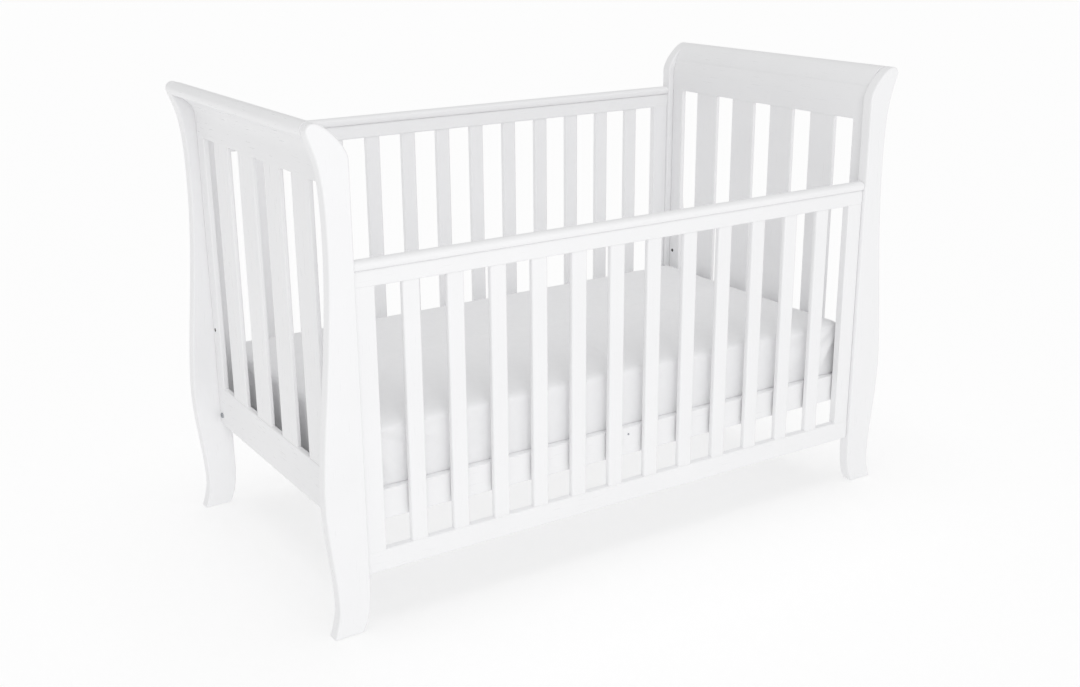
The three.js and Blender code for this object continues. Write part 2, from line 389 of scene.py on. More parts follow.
@dataclass(frozen=True)
class SatinLacquer(Finish):
    """Sprayed white satin lacquer on hardwood.

    The film levels out, so the eye gets a soft broad highlight. The wood's long pores sink it
    by a hair along the grain, and the spray leaves a fine orange peel.
    """

    grain: Axis = Axis.Z
    colour: str = "#F7F7F8"
    shade: str = "#F2F2F3"
    roughness: float = 0.24
    roughness_rise: float = 0.10
    ior: float = 1.49
    pore_width: float = 2.2 * MM
    pore_length: float = 60 * MM
    pore_depth: float = 0.35 * MM
    pore_strength: float = 0.22
    peel: float = 1.6 * MM
    peel_depth: float = 0.15 * MM
    peel_strength: float = 0.12
    patch: float = 180 * MM

    def make(self) -> bpy.types.Material:
        """Makes the lacquer: patches, pores along the grain and orange peel."""
        material, tree, place = self.start()
        stretch = [1 / self.pore_width] * 3
        stretch[self.grain] = 1 / self.pore_length
        along = add_node(tree, "ShaderNodeMapping", Vector=place, Scale=stretch)
        pores = add_node(tree, "ShaderNodeTexNoise", Vector=along.outputs[0],
                         Scale=1.0, Detail=3.0, Roughness=0.6)
        peel = add_node(tree, "ShaderNodeTexNoise", Vector=place,
                        Scale=1 / self.peel, Detail=1.0)
        patch = add_node(tree, "ShaderNodeTexNoise", Vector=place,
                         Scale=1 / self.patch, Detail=4.0)
        colour = add_node(tree, "ShaderNodeMix", {"data_type": "RGBA"}, at_0=patch.outputs[0],
                          at_6=linear(self.shade), at_7=linear(self.colour))
        gloss = add_node(tree, "ShaderNodeMapRange", Value=pores.outputs[0],
                         To_Min=self.roughness,
                         To_Max=self.roughness + self.roughness_rise)
        rough = add_node(tree, "ShaderNodeBump", Height=peel.outputs[0],
                         Strength=self.peel_strength, Distance=self.peel_depth)
        bump = add_node(tree, "ShaderNodeBump", Height=pores.outputs[0],
                        Normal=rough.outputs[0], Strength=self.pore_strength,
                        Distance=self.pore_depth)
        shader = add_node(tree, "ShaderNodeBsdfPrincipled", Base_Color=colour.outputs[2],
                          Roughness=gloss.outputs[0], Normal=bump.outputs[0], IOR=self.ior)
        add_node(tree, "ShaderNodeOutputMaterial", Surface=shader.outputs[0])
        return material


@dataclass(frozen=True)
class Cotton(Finish):
    """Plain-woven white cotton.

    The threads scatter light softly with a faint sheen. They are 0.4 mm apart on the real
    cloth, too fine to show, so the weave is drawn at the width given here.
    """

    colour: str = "#F8F8F9"
    shade: str = "#F2F2F3"
    thread: float = 2.4 * MM
    thread_depth: float = 0.3 * MM
    thread_strength: float = 0.3
    slub: float = 14 * MM
    slub_depth: float = 1.2 * MM
    slub_strength: float = 0.25
    roughness: float = 0.88
    ior: float = 1.45
    sheen: float = 0.25
    sheen_roughness: float = 0.5

    def make(self) -> bpy.types.Material:
        """Makes the cloth: a wave along each axis, so that two cross on every side."""
        material, tree, place = self.start()
        height: bpy.types.NodeSocket | float = 0.0
        for direction in "XYZ":
            wave = add_node(tree, "ShaderNodeTexWave",
                            {"bands_direction": direction, "wave_profile": "SIN"},
                            Vector=place, Scale=WAVE_LENGTH / self.thread, Distortion=0.6,
                            Detail=1.0)
            height = add_node(tree, "ShaderNodeMath", at_0=wave.outputs["Fac"],
                              at_1=height).outputs[0]
        slub = add_node(tree, "ShaderNodeTexNoise", Vector=place,
                        Scale=1 / self.slub, Detail=5.0, Roughness=0.65)
        colour = add_node(tree, "ShaderNodeMix", {"data_type": "RGBA"}, at_0=slub.outputs[0],
                          at_6=linear(self.shade), at_7=linear(self.colour))
        loose = add_node(tree, "ShaderNodeBump", Height=slub.outputs[0],
                         Strength=self.slub_strength, Distance=self.slub_depth)
        bump = add_node(tree, "ShaderNodeBump", Height=height, Normal=loose.outputs[0],
                        Strength=self.thread_strength, Distance=self.thread_depth)
        shader = add_node(tree, "ShaderNodeBsdfPrincipled", Base_Color=colour.outputs[2],
                          Roughness=self.roughness, Normal=bump.outputs[0], IOR=self.ior,
                          Sheen_Weight=self.sheen, Sheen_Roughness=self.sheen_roughness)
        add_node(tree, "ShaderNodeOutputMaterial", Surface=shader.outputs[0])
        return material


@dataclass(frozen=True)
class ZincSteel(Finish):
    """Zinc-plated steel, turned and tumbled, with a cool, slightly mottled gloss."""

    colour: str = "#B4B7BB"
    shade: str = "#8F9398"
    mottle: float = 3 * MM
    roughness: tuple[float, float] = (0.25, 0.42)
    pit_depth: float = 0.1 * MM
    pit_strength: float = 0.1

    def make(self) -> bpy.types.Material:
        """Makes the plating."""
        material, tree, place = self.start()
        mottle = add_node(tree, "ShaderNodeTexNoise", Vector=place,
                          Scale=1 / self.mottle, Detail=3.0)
        colour = add_node(tree, "ShaderNodeMix", {"data_type": "RGBA"}, at_0=mottle.outputs[0],
                          at_6=linear(self.shade), at_7=linear(self.colour))
        gloss = add_node(tree, "ShaderNodeMapRange", Value=mottle.outputs[0],
                         To_Min=self.roughness[0], To_Max=self.roughness[1])
        bump = add_node(tree, "ShaderNodeBump", Height=mottle.outputs[0],
                        Strength=self.pit_strength, Distance=self.pit_depth)
        shader = add_node(tree, "ShaderNodeBsdfPrincipled", Base_Color=colour.outputs[2],
                          Roughness=gloss.outputs[0], Normal=bump.outputs[0], Metallic=1.0)
        add_node(tree, "ShaderNodeOutputMaterial", Surface=shader.outputs[0])
        return material


@dataclass(frozen=True)
class PaintedHoleShade(Finish):
    # The dark colours are painted shade of a hole's inside, mixed with bare wood's own tone
    """Painted shade of a drilled hole's unlit inside, over the tone of bare wood, for the disc
    that stands for one.
    """

    colour: str = "#3A3733"
    shade: str = "#24221F"
    dust: float = 1.5 * MM
    roughness: float = 0.95

    def make(self) -> bpy.types.Material:
        """Makes the disc's painted shade."""
        material, tree, place = self.start()
        dust = add_node(tree, "ShaderNodeTexNoise", Vector=place, Scale=1 / self.dust)
        colour = add_node(tree, "ShaderNodeMix", {"data_type": "RGBA"}, at_0=dust.outputs[0],
                          at_6=linear(self.shade), at_7=linear(self.colour))
        shader = add_node(tree, "ShaderNodeBsdfPrincipled", Base_Color=colour.outputs[2],
                          Roughness=self.roughness)
        add_node(tree, "ShaderNodeOutputMaterial", Surface=shader.outputs[0])
        return material


LACQUER = {axis: SatinLacquer(f"satin_lacquer_{axis.name.lower()}", axis) for axis in Axis}
COTTON = Cotton("cotton_cover")
STEEL = ZincSteel("zinc_steel")
# Painted shade for the discs that stand for the spare bolt holes
HOLE_SHADE = PaintedHoleShade("painted_hole_shade")


# ---- Pieces ----

def new_object(name: str, surface: Surface) -> bpy.types.Object:
    """Makes a smooth-shaded object at the origin from a surface."""
    mesh = bpy.data.meshes.new(name)
    mesh.from_pydata(surface.points.tolist(), [], surface.faces)
    mesh.polygons.foreach_set("use_smooth", np.ones(len(mesh.polygons), bool))
    mesh.update()
    piece = bpy.data.objects.new(name, mesh)
    bpy.context.scene.collection.objects.link(piece)
    return piece


def fit(piece: bpy.types.Object, finish: Finish, body: Body,
        stands_for: Iterable[str] = ()) -> None:
    """Finishes a piece and puts it on its body.

    Args:
        piece: The object.
        finish: Its material.
        body: The body that it moves with.
        stands_for: The CAD nodes that it replaces.
    """
    finish.dress(piece)
    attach(piece, body.value)
    names = list(stands_for)
    if names:
        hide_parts(*names)
    LOG.info("%s on %s, %d faces", piece.name, body.value, len(piece.data.polygons))


def lay_board(node: str, axis: Axis, body: Body, edge: float, end: float,
              tenon: float = 0.0) -> None:
    """Builds an eased board in the place of a CAD node.

    Args:
        node: The CAD node.
        axis: The way that the board is long.
        body: The body that it moves with.
        edge: Radius of the long edges.
        end: Radius round the ends.
        tenon: How far each end runs into its neighbour.
    """
    low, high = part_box(node)
    low[axis] -= tenon
    high[axis] += tenon
    surface = eased_board(low, high, axis, edge, end)
    piece = new_object(f"board_{node}", surface)
    fit(piece, LACQUER[axis], body, [node])


def read_points(mesh: bpy.types.Mesh) -> np.ndarray:
    """A mesh's vertices as rows of x, y, z."""
    points = np.empty(len(mesh.vertices) * 3, np.float32)
    mesh.vertices.foreach_get("co", points)
    return points.reshape(-1, 3).astype(float)


def write_points(mesh: bpy.types.Mesh, points: np.ndarray) -> None:
    """Puts rows of x, y, z back into a mesh."""
    mesh.vertices.foreach_set("co", points.astype(np.float32).ravel())
    mesh.update()


def bake(piece: bpy.types.Object) -> None:
    """Applies a piece's modifiers."""
    graph = bpy.context.evaluated_depsgraph_get()
    mesh = bpy.data.meshes.new_from_object(piece.evaluated_get(graph))
    piece.modifiers.clear()
    piece.data = mesh
    mesh.polygons.foreach_set("use_smooth", np.ones(len(mesh.polygons), bool))


# Turned profiles: rows of radius and height in millimetres, and hexagon share
# A shallow disc with a rim, dark with the painted shade of a hole; nothing is bored
HOLE_RIM = np.array([
    (4.4, -1.5, 0), (4.4, -0.2, 0), (4.2, 0.15, 0), (3.6, 0.2, 0), (3.4, 0.05, 0),
]) * (MM, MM, 1)
BOLT_HEAD = np.array([
    (3.0, -3.0, 0), (6.3, -0.5, 0), (6.5, 0.0, 0), (6.5, 1.6, 0), (6.1, 2.4, 0), (5.2, 3.0, 0),
    (3.6, 3.3, 0), (2.9, 3.3, 1), (2.6, 3.0, 1), (2.5, 1.0, 1), (0.6, 0.4, 1),
]) * (MM, MM, 1)
GUIDE_PEG = np.array([
    (4.0, -3.0, 0), (4.0, 6.0, 0), (3.8, 6.6, 0), (3.2, 7.0, 0),
]) * (MM, MM, 1)


@dataclass
class Scroll:
    """The rolled-over top that the posts and the end rails share, in X and Z."""

    nose_x: float = 710.6 * MM
    nose_z: float = 991 * MM
    nose_radius: float = 15 * MM

    @property
    def top(self) -> float:
        """Height of the very top."""
        return self.nose_z + self.nose_radius

    def nose(self, start: float) -> np.ndarray:
        """The nose, from an angle below its tip to its top."""
        return arc((self.nose_x, self.nose_z), self.nose_radius, start, QUARTER, 14)


@dataclass
class Posts:
    """Four posts, flat boards sawn to an S with a flared foot and a scrolled top."""

    scroll: Scroll = field(default_factory=Scroll)
    inner_x: float = 646 * MM
    foot_inner_x: float = 667 * MM
    foot_outer_x: float = 727 * MM
    foot_rise: float = 90 * MM
    corner: float = 2.5 * MM
    ankle: tuple[float, float] = (713.5 * MM, 62 * MM)
    bulge: tuple[float, float] = (731 * MM, 288 * MM)
    waist: tuple[float, float] = (696.5 * MM, 790 * MM)
    nose_join: tuple[float, float] = (725.3 * MM, 988 * MM)
    scroll_start: float = 935 * MM
    toe_curl: tuple[float, float] = (720 * MM, 22 * MM)
    ankle_curl: float = 42 * MM
    shin: tuple[float, float] = (130 * MM, 215 * MM)
    flank: tuple[float, float] = (415 * MM, 590 * MM)
    neck: float = 940 * MM
    throat: tuple[float, float] = (714 * MM, 950 * MM)
    nose_start: float = -0.2
    crown_x: float = 690 * MM
    shoulder: float = 962 * MM
    straight: tuple[float, float] = (650 * MM, 350 * MM)
    heel_rise: float = 50 * MM
    heel_curl: tuple[float, float] = (654 * MM, 16 * MM)
    edge: float = 4 * MM
    grooves: tuple[tuple[float, float], ...] = ((129.5 * MM, 292.5 * MM),
                                                (580.5 * MM, 743.5 * MM))
    groove_width: float = 9.6 * MM
    groove_depth: float = 11 * MM
    groove_edge: float = 0.5 * MM

    def outline(self) -> np.ndarray:
        """The right-hand post seen from the front, counter-clockwise from the foot.

        Cubic curves join the toe, ankle, bulge, waist, nose, straight inner edge and heel. The
        other points and heights of the post are the curves' control points.
        """
        top, c = self.scroll.top, self.corner
        inner, waist, ankle, bulge = self.inner_x, self.waist, self.ankle, self.bulge
        sole = (self.foot_inner_x, 0.0), (self.foot_outer_x, 0.0)
        heel = (sole[0][0] + c, 0.0), (sole[0][0] - c, c)
        toe = (sole[1][0] - c, 0.0), (sole[1][0] - 0.3 * c, c)
        return np.concatenate([
            bezier([heel[0], heel[0], toe[0], toe[0]], 8),
            bezier([toe[0], sole[1], sole[1], toe[1]], 5),
            bezier([toe[1], self.toe_curl, (ankle[0], self.ankle_curl), ankle], 10),
            bezier([ankle, (ankle[0], self.shin[0]), (bulge[0], self.shin[1]), bulge], 22),
            bezier([bulge, (bulge[0], self.flank[0]), (waist[0], self.flank[1]), waist], 36),
            bezier([waist, (waist[0], self.neck), self.throat, self.nose_join], 24),
            self.scroll.nose(self.nose_start),
            bezier([(self.scroll.nose_x, top), (self.crown_x, top), (inner, self.shoulder),
                    (inner, self.scroll_start)], 24),
            bezier([(inner, self.scroll_start), (inner, self.straight[0]),
                    (inner, self.straight[1]), (inner, self.foot_rise)], 40),
            bezier([(inner, self.foot_rise), (inner, self.heel_rise), self.heel_curl,
                    heel[1]], 14),
            bezier([heel[1], sole[0], sole[0], heel[0]], 5),
        ])

    def build(self) -> None:
        """Saws the four posts."""
        outline = self.outline()
        for end, side in ENDS.items():
            turned_round = outline * (side, 1)
            if side < 0:
                turned_round = turned_round[::-1]
            for facing in FACINGS:
                node = f"post_{facing}_{end}"
                low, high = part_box(node)
                surface = sawn_board(turned_round, Axis.Y, low.y, high.y, self.edge)
                piece = new_object(f"sawn_{node}", surface)
                if facing == "front":
                    self.rout(piece, side)
                fit(piece, LACQUER[Axis.Z], Body.FRAME, [node])

    def rout(self, piece: bpy.types.Object, side: int) -> None:
        """Routs the grooves for the catch and the guide peg into a front post's inner edge."""
        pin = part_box("catch_left")
        middle = (pin[0].y + pin[1].y) / 2
        reach = sorted(side * (self.inner_x + way * self.groove_depth) for way in (-1, 1))
        for foot, head in self.grooves:
            low = Vector((reach[0], middle - self.groove_width / 2, foot))
            high = Vector((reach[1], middle + self.groove_width / 2, head))
            surface = eased_board(low, high, Axis.Z, self.groove_edge, self.groove_edge)
            cutter = new_object("router_bit", surface)
            cut = piece.modifiers.new("groove", "BOOLEAN")
            cut.operation, cut.solver, cut.object = "DIFFERENCE", "EXACT", cutter
            bake(piece)
            bpy.data.objects.remove(cutter)
        piece.data.set_sharp_from_angle(angle=CREASE_ANGLE)


@dataclass
class EndPanels:
    """Both end panels: a scrolled top rail, a bottom rail, narrow stiles and wide slats."""

    scroll: Scroll = field(default_factory=Scroll)
    rail_edge: float = 2.5 * MM
    slat_edge: float = 2.5 * MM
    slats: int = 4
    quirk_depth: float = 0.9 * MM
    quirk_width: float = 3 * MM
    foot_edge: float = 1.5 * MM
    outer_top: float = 918 * MM
    outer_bend: float = 952 * MM
    throat: tuple[float, float] = (684 * MM, 966 * MM)
    nose_join: tuple[float, float] = (720.2 * MM, 979.5 * MM)
    nose_start: float = -0.87
    crown_x: float = 690 * MM
    crown_fall: tuple[float, float] = (675 * MM, 990 * MM)
    crease: tuple[float, float] = (668.5 * MM, 962 * MM)
    crease_fall: tuple[float, float] = (665 * MM, 948 * MM)
    inner_bend: float = 938 * MM
    inner_top: float = 925 * MM
    seat: float = 1.5 * MM
    upper_bolt_z: float = 440 * MM

    def section(self, inner: float, outer: float, low: float) -> np.ndarray:
        """The right-hand top rail's section in X and Z, counter-clockwise from its foot.

        A shallow quirk, a raised-cosine notch, runs along the inner face where the upright
        board turns into the scroll. Bends, falls, throat and crown are control points.
        """
        top, c, crease = self.scroll.top, self.foot_edge, self.crease
        points = np.concatenate([
            bezier([(inner + c, low)] * 2 + [(outer - c, low)] * 2, 4),
            bezier([(outer - c, low), (outer, low), (outer, low), (outer, low + c)], 4),
            bezier([(outer, low + c)] * 2 + [(outer, self.outer_top)] * 2, 8),
            bezier([(outer, self.outer_top), (outer, self.outer_bend), self.throat,
                    self.nose_join], 26),
            self.scroll.nose(self.nose_start),
            bezier([(self.scroll.nose_x, top), (self.crown_x, top), self.crown_fall,
                    crease], 30),
            bezier([crease, self.crease_fall, (inner, self.inner_bend),
                    (inner, self.inner_top)], 20),
            bezier([(inner, self.inner_top)] * 2 + [(inner, low + c)] * 2, 8),
            bezier([(inner, low + c), (inner, low), (inner, low), (inner + c, low)], 4),
        ])
        away = np.linalg.norm(points - np.array(crease), axis=1) / self.quirk_width
        notch = np.where(away < 1, 0.5 + 0.5 * np.cos(math.pi * np.minimum(away, 1)), 0)
        points[:, 0] += self.quirk_depth * notch
        return points

    def top_rail(self, end: str, side: int) -> None:
        """Runs one scrolled top rail between its posts."""
        node = f"end_{end}_top_rail"
        low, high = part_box(node)
        stile_low, stile_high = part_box(f"end_{end}_stile_front")
        near, far = sorted((abs(stile_low.x), abs(stile_high.x)))
        section = self.section(near, far, low.z) * (side, 1)
        if side < 0:
            section = section[::-1]
        surface = sawn_board(section, Axis.Y, low.y, high.y, CUT_EDGE)
        fit(new_object(f"moulded_{node}", surface), LACQUER[Axis.Y], Body.FRAME,
            [node])

    def build(self) -> None:
        """Builds both panels."""
        for end, side in ENDS.items():
            self.top_rail(end, side)
            lay_board(f"end_{end}_bottom_rail", Axis.Y, Body.FRAME, self.rail_edge, CUT_EDGE)
            for facing in FACINGS:
                lay_board(f"end_{end}_stile_{facing}", Axis.Z, Body.FRAME, self.rail_edge,
                          CUT_EDGE, self.seat)
            for number in range(1, self.slats + 1):
                lay_board(f"end_{end}_slat_{number}", Axis.Z, Body.FRAME, self.slat_edge,
                          CUT_EDGE, self.seat)
            self.paint_hole_shades(end, side)

    def paint_hole_shades(self, end: str, side: int) -> None:
        """Marks the spare bolt holes of the base's upper height, on both faces of the stiles.

        Each is a disc with a rim, set into the face, dark with the painted shade of a hole's
        inside. The board isn't drilled.
        """
        for facing in FACINGS:
            low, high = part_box(f"end_{end}_stile_{facing}")
            rail_low, rail_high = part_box(f"base_rail_{facing}")
            y = (rail_low.y + rail_high.y) / 2
            for x, outward in ((low.x, -1), (high.x, 1)):
                face = "outer" if outward == side else "inner"
                centre = Vector((x, y, self.upper_bolt_z))
                rim = turned(HOLE_RIM, centre, Vector((outward, 0, 0)))
                name = f"bolt_hole_{end}_{facing}_{face}"
                # The disc's dark is painted shade standing for the hole's inside
                fit(new_object(name, rim), HOLE_SHADE, Body.FRAME)


@dataclass
class SidePanel:
    """A slatted side: two rails, a moulded cap, two stiles and twelve slats.

    Its reach is how far the boards pass the CAD's ends, towards the posts.
    """

    prefix: str
    body: Body
    reach: float
    slats: int = 12
    rail_edge: float = 3 * MM
    stile_edge: float = 2 * MM
    slat_edge: float = 4 * MM
    seat: float = 1.5 * MM
    cap_side: float = 10.5 * MM
    cap_tuck: float = 9 * MM
    cap_inset: float = 4 * MM
    peg_z: float = 590 * MM

    def cap(self) -> None:
        """Moulds the cap: a crown of half an ellipse on upright sides that tuck in below.

        The tuck is a quarter of an ellipse from the sides down to the narrower underside.
        """
        node = f"{self.prefix}_cap"
        low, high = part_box(node)
        middle, half = (low.y + high.y) / 2, (high.y - low.y) / 2
        top, side = low.z + self.cap_side, low.z + self.cap_tuck
        angle = np.linspace(0, math.pi, 33)
        crown = np.stack([np.cos(angle) * half, top + (high.z - top) * np.sin(angle)], axis=1)
        turn = np.linspace(QUARTER, 0, 9)
        tuck = np.stack([half - self.cap_inset * (1 - np.cos(turn)),
                         side - self.cap_tuck * np.sin(turn)], axis=1)
        tuck_back = tuck[::-1] * (-1, 1)
        sole = np.stack([np.linspace(tuck_back[-1, 0], tuck[0, 0], 8),
                         np.full(8, low.z)], axis=1)[1:-1]
        section = np.concatenate([tuck, crown, tuck_back, sole]) + (middle, 0)
        start, stop = low.x - self.reach, high.x + self.reach
        surface = sawn_board(section, Axis.X, start, stop, CUT_EDGE)
        fit(new_object(f"moulded_{node}", surface), LACQUER[Axis.X], self.body,
            [node])

    def build(self) -> None:
        """Builds the panel."""
        self.cap()
        for rail in ("bottom_rail", "top_rail"):
            lay_board(f"{self.prefix}_{rail}", Axis.X, self.body, self.rail_edge, CUT_EDGE,
                      self.reach)
        for end in ENDS:
            self.stile(end)
        for number in range(1, self.slats + 1):
            lay_board(f"{self.prefix}_slat_{number:02d}", Axis.Z, self.body, self.slat_edge,
                      CUT_EDGE, self.seat)
        if self.body == Body.DROP_SIDE:
            self.pegs()

    def pegs(self) -> None:
        """Drives a steel guide peg into each stile, which runs in its post's upper groove."""
        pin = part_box("catch_left")
        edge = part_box(f"{self.prefix}_top_rail")[1].x + self.reach
        for end, side in ENDS.items():
            centre = Vector((side * edge, (pin[0].y + pin[1].y) / 2, self.peg_z))
            surface = turned(GUIDE_PEG, centre, Vector((side, 0, 0)))
            fit(new_object(f"guide_peg_{end}", surface), STEEL, self.body)

    def stile(self, end: str) -> None:
        """Lays one stile, no wider than to the rails' end, because its node holds a peg too."""
        node = f"{self.prefix}_stile_{end}"
        low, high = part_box(node)
        rail_low, rail_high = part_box(f"{self.prefix}_top_rail")
        side = ENDS[end]
        low.x, high.x = max(low.x, rail_low.x), min(high.x, rail_high.x)
        low.x, high.x = low.x - self.reach * (side < 0), high.x + self.reach * (side > 0)
        low.z, high.z = low.z - self.seat, high.z + self.seat
        surface = eased_board(low, high, Axis.Z, self.stile_edge, CUT_EDGE)
        piece = new_object(f"board_{node}", surface)
        fit(piece, LACQUER[Axis.Z], self.body, [node])


@dataclass
class Base:
    """The mattress base: two side rails, a board, its bolts and the rails' centre screws."""

    rail_edge: float = 1.5 * MM
    bolt_z: float = 230 * MM
    screw_z: float = 262 * MM
    screw_scale: float = 0.36

    def build(self) -> None:
        """Builds the base and its fastenings."""
        for facing, toward in FACINGS.items():
            node = f"base_rail_{facing}"
            lay_board(node, Axis.X, Body.BASE, self.rail_edge, 1 * MM)
            low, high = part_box(node)
            face = low.y if toward < 0 else high.y
            self.fasten(f"centre_screw_{facing}", Vector((0, face, self.screw_z)),
                        Vector((0, toward, 0)), self.screw_scale)
            for end, side in ENDS.items():
                outer = max(abs(c.x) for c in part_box(f"end_{end}_bottom_rail"))
                centre = Vector((side * outer, (low.y + high.y) / 2, self.bolt_z))
                self.fasten(f"base_bolt_{end}_{facing}", centre, Vector((side, 0, 0)), 1.0)
        lay_board("base_board", Axis.X, Body.BASE, 1 * MM, 1 * MM)

    def fasten(self, name: str, centre: Vector, pointing: Vector, scale: float) -> None:
        """Drives one button-headed bolt or screw with a hexagon socket."""
        surface = turned(BOLT_HEAD * (scale, scale, 1), centre, pointing)
        fit(new_object(name, surface), STEEL, Body.BASE)


@dataclass
class Mattress:
    """The mattress in its fitted cotton cover.

    The slab is inflated as cloth, then folds fan out over the sides from its four corners,
    the top keeps the creases that the cover was folded along, and its foot settles flat on
    the base.
    """

    shrink: float = 4 * MM
    corner: float = 28 * MM
    top_edge: float = 10 * MM
    bottom_edge: float = 4 * MM
    voxel: float = 10 * MM
    pressure: float = 4.0
    cloth_quality: int = 4
    cloth_mass: float = 0.3
    stiffness: float = 12.0
    bending: float = 0.5
    frames: int = 20
    limit: float = 8 * MM
    fold_angles: tuple[float, ...] = (0.22, 0.45, 0.72, 1.0, 1.28)
    fold_depth: float = 4.6 * MM
    fold_width: float = 5.5 * MM
    fold_spread: float = 0.055
    fold_start: float = 24 * MM
    fold_reach: float = 185 * MM
    fold_inset: float = 0.2
    fold_lean: float = 0.045
    fold_bend: float = 0.0009
    valley_place: float = 1.6
    valley_depth: float = 0.6
    fold_strength: tuple[float, float, float] = (0.65, 0.35, 2.4)
    side_swell: float = 0.6
    side_start: float = 20 * MM
    side_fade: float = 8 * MM
    crease_lines: tuple[float, ...] = (-0.30, 0.02, 0.34)
    long_crease: float = 0.03
    crease_fade: tuple[float, float] = (20 * MM, 60 * MM)
    crease_wave: tuple[float, float, float] = (4 * MM, 13.0, 9.0)
    long_wave: tuple[float, float] = (3 * MM, 9.0)
    crease_depth: float = 0.9 * MM
    crease_width: float = 7 * MM
    settling: float = 8 * MM
    settled_height: float = 45 * MM
    low: np.ndarray = field(default_factory=lambda: np.array(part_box("mattress")[0]))
    high: np.ndarray = field(default_factory=lambda: np.array(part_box("mattress")[1]))

    @property
    def middle(self) -> np.ndarray:
        """Middle of the mattress, seen from above."""
        return (self.low + self.high)[:2] / 2

    def plan(self, inset: float, steps: int = 16) -> np.ndarray:
        """The mattress's level outline, a rounded rectangle, drawn in by an inset."""
        size = (self.high - self.low)[:2] - 2 * inset
        outline = rounded_rectangle(size[:1], size[1:], np.array([self.corner - inset]), steps)
        return outline[0] + self.middle

    def beyond(self, points: np.ndarray) -> np.ndarray:
        """How far points lie outside the level outline, as distance to a rounded rectangle."""
        half = (self.high - self.low)[:2] / 2
        q = np.abs(points[:, :2] - self.middle) - half + self.corner
        outside = np.linalg.norm(np.maximum(q, 0), axis=1)
        return outside + np.minimum(q.max(axis=1), 0) - self.corner

    def slab(self) -> Surface:
        """A slab with round corners and edges, drawn in a little to leave room to swell."""
        foot = easing(self.low[2], self.high[2] - self.shrink, self.bottom_edge, 4)
        head = easing(self.low[2], self.high[2] - self.shrink, self.top_edge, 5)
        rings = np.concatenate([foot[:len(foot) // 2], head[len(head) // 2:]])
        flat = drawn_in(self.plan(self.shrink), rings[:, 1])
        return skin(in_frame(flat, rings[:, 0], Axis.Z))

    def inflate(self, piece: bpy.types.Object) -> None:
        """Blows the slab up as cloth, with each point held within the limit."""
        scene = bpy.context.scene
        cloth = piece.modifiers.new("cover", "CLOTH")
        settings = cloth.settings
        settings.quality = self.cloth_quality
        settings.mass = self.cloth_mass
        settings.tension_stiffness = settings.compression_stiffness = self.stiffness
        settings.bending_stiffness = self.bending
        settings.use_pressure = True
        settings.uniform_pressure_force = self.pressure
        settings.effector_weights.gravity = 0
        cloth.collision_settings.use_collision = False
        for number in range(1, self.frames + 1):
            scene.frame_set(number)
        shaped = piece.evaluated_get(bpy.context.evaluated_depsgraph_get()).data
        before, after = read_points(piece.data), read_points(shaped)
        moved = after - before
        length = np.linalg.norm(moved, axis=1, keepdims=True)
        moved *= np.minimum(1, self.limit / np.maximum(length, 1e-9))
        piece.modifiers.remove(cloth)
        scene.frame_set(1)
        write_points(piece.data, before + moved)

    def folds(self, points: np.ndarray) -> np.ndarray:
        """Height of the folds that fan out over the sides from each top corner.

        With u the distance along the side from the corner's middle, and d the depth below the
        top edge, a fold along the angle a is a ridge exp(-(s / w)^2), where s = u sin a -
        d cos a is the distance across it. It widens with the distance r from the corner, is
        followed by a shallower valley, and grows in and dies out along r.
        """
        half = (self.high - self.low)[:2] / 2
        at = np.abs(points[:, :2] - self.middle)
        gap = half - at
        long_side = gap[:, 1] < gap[:, 0]
        round_corner = self.corner * (1 - QUARTER / 2)
        along = np.where(long_side, gap[:, 0], gap[:, 1])
        saved = round_corner * np.minimum(1, along / self.corner)
        u = np.abs(along - saved - self.fold_inset * self.corner)
        d = self.high[2] - points[:, 2]
        r = np.hypot(u, d)
        sign = np.sign(points[:, :2] - self.middle)
        lean = self.fold_lean * (sign[:, 0] + 2 * sign[:, 1] * np.where(long_side, 1, -1))
        fade = np.clip((r - self.fold_start) / self.fold_start, 0, 1)
        fade = fade * np.exp(-(r / self.fold_reach) ** 4)
        height = np.zeros(len(points))
        for number, angle in enumerate(self.fold_angles):
            bend = self.fold_bend * (number % 2 - 0.5)
            turn = angle + lean * (1 + number % 3) + bend * r / MM
            across = u * np.sin(turn) - d * np.cos(turn)
            width = self.fold_width + self.fold_spread * r
            ridge = np.exp(-(across / width) ** 2)
            valley = np.exp(-((across + self.valley_place * width) / width) ** 2)
            steady, swing, rhythm = self.fold_strength
            strength = steady + swing * math.cos(rhythm * number)
            height += (ridge - self.valley_depth * valley) * strength
        return self.fold_depth * fade * height

